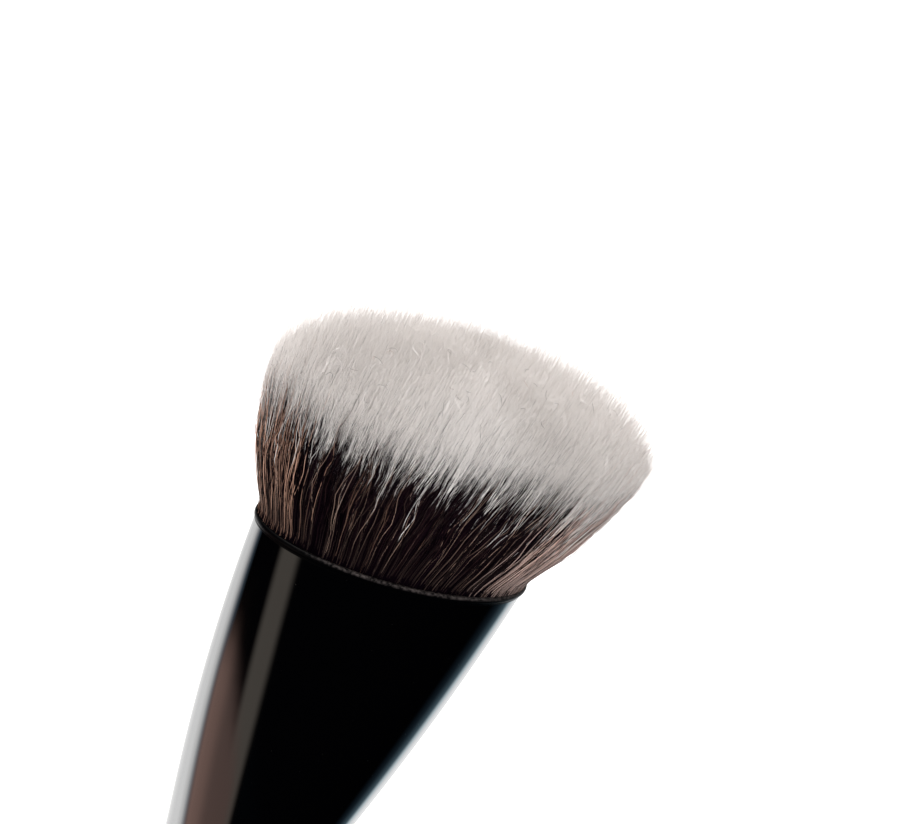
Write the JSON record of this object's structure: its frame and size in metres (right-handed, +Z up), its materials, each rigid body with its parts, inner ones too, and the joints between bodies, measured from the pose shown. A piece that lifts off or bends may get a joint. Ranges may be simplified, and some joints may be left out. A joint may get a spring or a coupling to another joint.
{
  "type": "contour brush",
  "caption": "Make-up contour brush: dense oval head of two-tone filaments with a domed flat cut, in a black pressed ferrule that tapers from oval to round, on a slim turned handle.",
  "frame": {"origin": "centre of the handle's flat butt face", "axes": "+Z up the handle to the filament tips, X along the long way of the oval head, -Y the side seen in the picture"},
  "size_m": [0.0371, 0.0201, 0.1673],
  "materials": {
    "handle_lacquer": "turned hardwood under gloss black lacquer",
    "adhesive": "cured clear amber glue",
    "ferrule_lacquer": "drawn metal under deep gloss black lacquer",
    "resin": "cast resin",
    "thread": "twisted binding thread",
    "filament_white": "fine synthetic filament, white at the tips",
    "filament_two_tone": "fine synthetic filament, brown with white tips",
    "filament_brown": "fine wavy synthetic filament, brown with white tips"
  },
  "bodies": {
    "root": {"handle": "handle_lacquer", "tenon_adhesive": "adhesive", "ferrule": "ferrule_lacquer", "root_plug": "resin", "binding_thread": "thread", "core_filaments": "filament_white", "body_filaments": "filament_two_tone", "outer_filaments": "filament_brown"}
  },
  "joints": []
}
